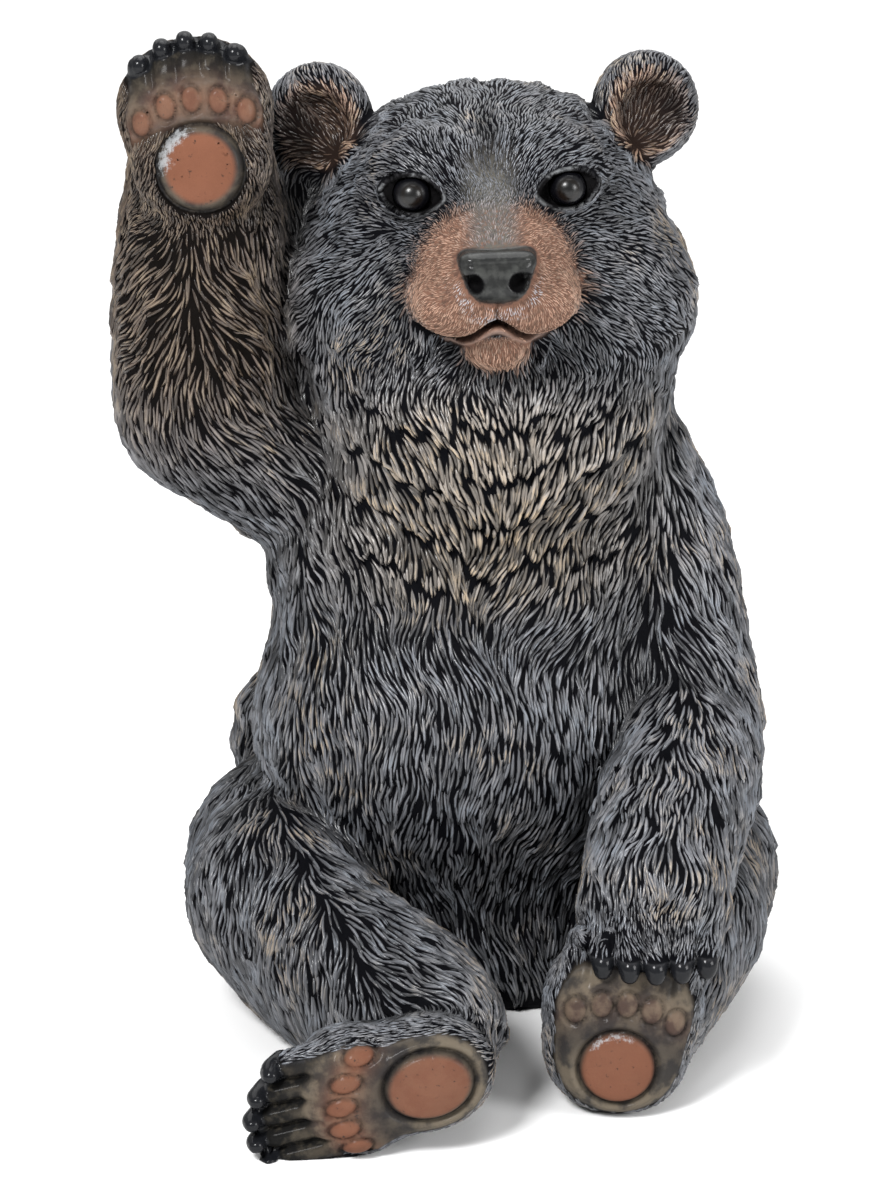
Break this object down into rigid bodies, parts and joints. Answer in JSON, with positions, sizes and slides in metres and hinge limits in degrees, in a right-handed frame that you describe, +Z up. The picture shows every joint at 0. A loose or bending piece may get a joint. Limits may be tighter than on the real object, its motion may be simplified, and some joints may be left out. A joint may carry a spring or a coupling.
{
  "type": "bear figurine",
  "caption": "Seated black bear figurine in painted cast resin, one paw raised in a wave and the other resting on its foot, with inset glass eyes.",
  "frame": {"origin": "middle of the bounding box at the ground, under the figure's flat base", "axes": "+Z up; the bear looks along -Y, so its raised right arm is at -X and its left side at +X"},
  "size_m": [0.2192, 0.2426, 0.321],
  "materials": {
    "painted_resin": "charcoal paint, dry-brushed grey and tan on carved fur, with terracotta pads and muzzle, semi-gloss",
    "black_glass": "high gloss"
  },
  "bodies": {
    "root": {"bear": "painted_resin", "eye_left": "black_glass", "eye_right": "black_glass"}
  },
  "joints": []
}
